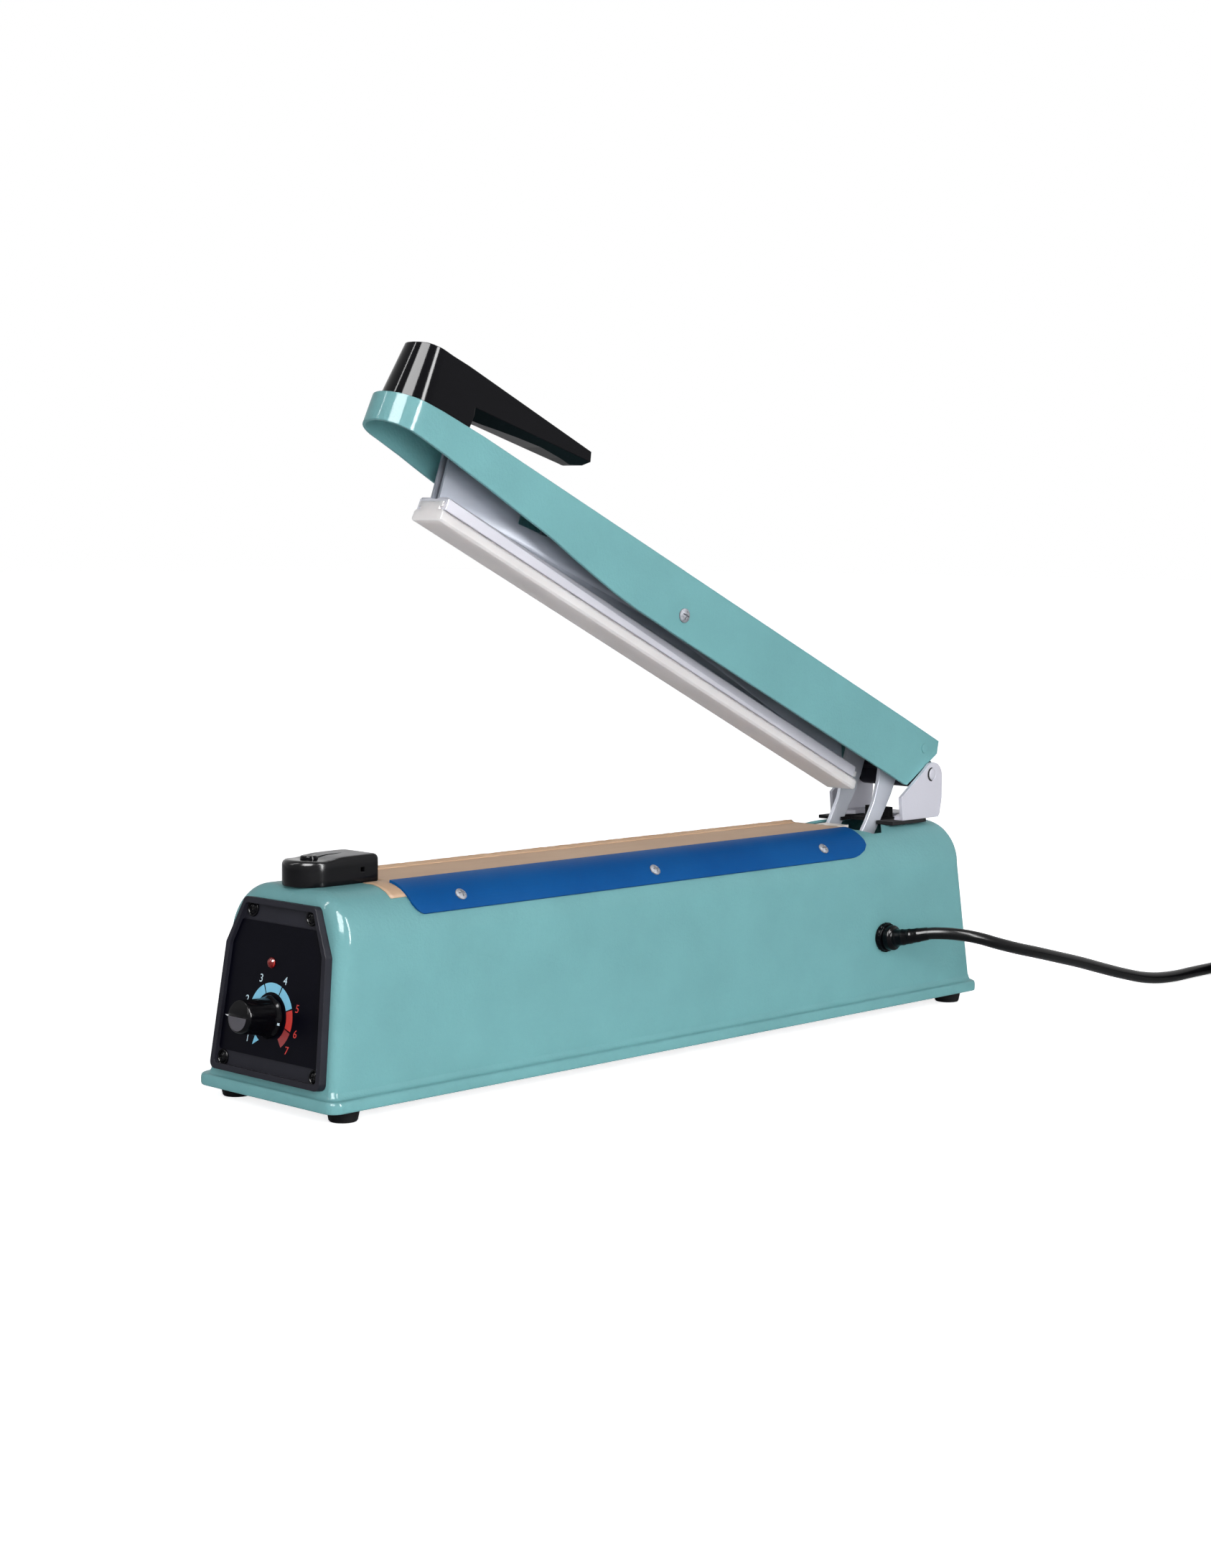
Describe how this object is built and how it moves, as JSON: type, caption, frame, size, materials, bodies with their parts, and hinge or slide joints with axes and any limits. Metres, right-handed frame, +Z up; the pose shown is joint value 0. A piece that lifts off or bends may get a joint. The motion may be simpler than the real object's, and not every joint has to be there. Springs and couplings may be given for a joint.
{
  "type": "impulse heat sealer",
  "caption": "Bench impulse heat sealer: a sprung arm with a silicone pressing bar closes on a cloth-covered heating band along a long narrow base with a timer dial.",
  "frame": {"origin": "middle of the machine's footprint, on the table under the feet; the free mains lead isn't counted", "axes": "+X to the side the mains lead leaves, +Y from the control panel to the hinge along the machine's length, +Z up"},
  "size_m": [0.2506, 0.6909, 0.328],
  "materials": {
    "teal_paint": "painted, semi gloss",
    "black_plastic": "moulded, fine grain",
    "gloss_black": "polished moulding",
    "panel_plastic": "moulded, satin",
    "label_film": "printed film",
    "lamp_red": "clear red moulding",
    "plated_steel": "bright zinc plate",
    "bracket_steel": "nickel plate",
    "spring_steel": "drawn wire",
    "bar_aluminium": "extruded",
    "holder_aluminium": "extruded, anodised grey",
    "core_steel": "laminated steel",
    "brass_fitting": "machined",
    "heating_alloy": "rolled, darkened by heat",
    "glass_tape": "woven glass tape",
    "coated_cloth": "coated glass cloth",
    "white_silicone": "silicone, smooth",
    "black_rubber": "moulded rubber",
    "blue_paint": "painted, gloss",
    "winding_tape": "wound tape over copper",
    "circuit_board": "solder mask",
    "board_component": "mixed",
    "cord_sheath": "flexible sheath"
  },
  "bodies": {
    "base": {"base_housing": "teal_paint", "bottom_plate": "plated_steel", "plate_screws": "plated_steel", "rubber_feet": "black_rubber", "foot_screws": "plated_steel", "control_panel": "panel_plastic", "dial_label": "label_film", "panel_screws": "black_plastic", "potentiometer": "plated_steel", "timer_board": "circuit_board", "board_parts": "board_component", "board_pillars": "plated_steel", "lamp_lens": "lamp_red", "switch_housing": "gloss_black", "button_spring": "spring_steel", "microswitch": "black_plastic", "switch_screws": "plated_steel", "sealing_bar": "bar_aluminium", "insulating_strip": "glass_tape", "heating_band": "heating_alloy", "front_terminal": "brass_fitting", "rear_terminal": "heating_alloy", "sealing_cloth": "coated_cloth", "right_clamp_strip": "blue_paint", "left_clamp_strip": "blue_paint", "strip_screws": "plated_steel", "transformer_core": "core_steel", "transformer_coil": "winding_tape", "transformer_bracket": "plated_steel", "transformer_screws": "plated_steel", "slot_gasket": "black_rubber", "hinge_bracket": "bracket_steel", "bracket_screws": "plated_steel", "arm_bumper": "black_rubber", "hinge_pin": "plated_steel", "pin_clips": "plated_steel", "return_spring": "spring_steel", "spring_anchor": "plated_steel", "cord_gland": "black_plastic", "gland_nut": "black_plastic", "strain_relief": "cord_sheath", "power_cord": "cord_sheath", "cord_coil": "cord_sheath", "plug_lead": "cord_sheath", "mains_plug": "cord_sheath", "plug_pins": "plated_steel"},
    "arm": {"arm_cover": "teal_paint", "arm_rivets": "teal_paint", "hinge_block": "black_plastic", "lift_fork": "bracket_steel", "fork_rod": "plated_steel", "handle": "gloss_black", "handle_screws": "plated_steel", "rock_screw": "plated_steel", "rock_springs": "spring_steel"},
    "press_bar": {"press_bar": "holder_aluminium", "press_rubber": "white_silicone"},
    "knob": {"timer_knob": "black_plastic", "potentiometer_shaft": "plated_steel"},
    "button": {"switch_button": "black_plastic"}
  },
  "joints": [
    {"name": "arm_hinge", "type": "hinge", "parent": "base", "child": "arm", "pos_m": [0, 0.21369, 0.1197], "axis": [1, 0, 0], "range_deg": [0, 24.9], "stiffness_Nm_per_rad": 1.2, "springref_deg": -114.59},
    {"name": "press_bar_rock", "type": "hinge", "parent": "arm", "child": "press_bar", "pos_m": [0, 0.02509, 0.2067], "axis": [1, 0, 0], "range_deg": [0, 0.4]},
    {"name": "timer_dial", "type": "hinge", "parent": "base", "child": "knob", "pos_m": [-0.001, -0.21222, 0.04029], "axis": [0, 0.9921, -0.1253], "range_deg": [-230, 40]},
    {"name": "button_press", "type": "slide", "parent": "base", "child": "button", "axis": [0, 0, -1], "range_m": [0, 0.0015], "stiffness_N_per_m": 600, "springref_m": -0.002, "deforming": ["button_spring"]}
  ],
  "couplings": [
    {"joint": "press_bar_rock", "follows": "arm_hinge", "ratio": 0.016064}
  ]
}
